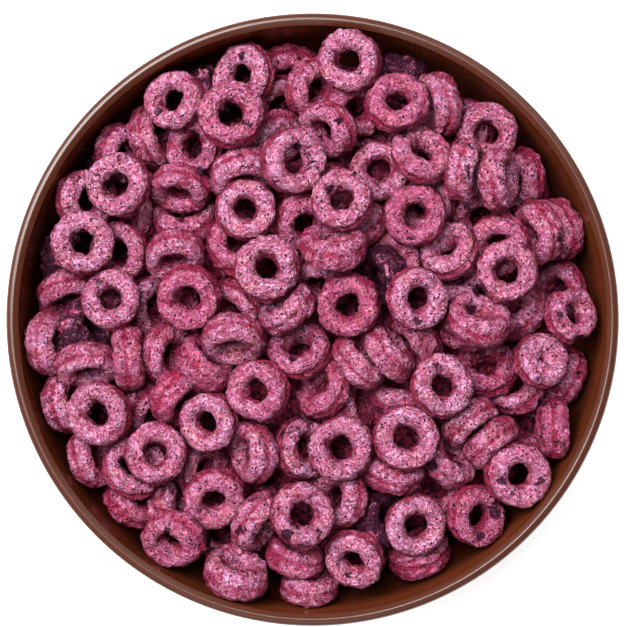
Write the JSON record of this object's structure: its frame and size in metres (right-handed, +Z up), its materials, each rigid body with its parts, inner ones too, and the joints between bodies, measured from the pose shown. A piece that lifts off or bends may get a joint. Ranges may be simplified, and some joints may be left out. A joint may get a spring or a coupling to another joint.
{
  "type": "bowl of cereal",
  "caption": "Round glazed brown bowl heaped above its rim with berry-coloured puffed cereal rings, standing on a turned foot ring.",
  "frame": {"origin": "middle of the foot ring's resting face, at the bottom centre of the bowl", "axes": "+Z up along the bowl's axis; +Y is the top of the overhead picture and +X its right"},
  "size_m": [0.15, 0.15, 0.0687],
  "materials": {
    "glaze": "glossy dark red-brown glaze",
    "cereal": "matte, rough and speckled puffed cereal"
  },
  "bodies": {
    "root": {"bowl": "glaze", "cereal_heap": "cereal"}
  },
  "joints": []
}
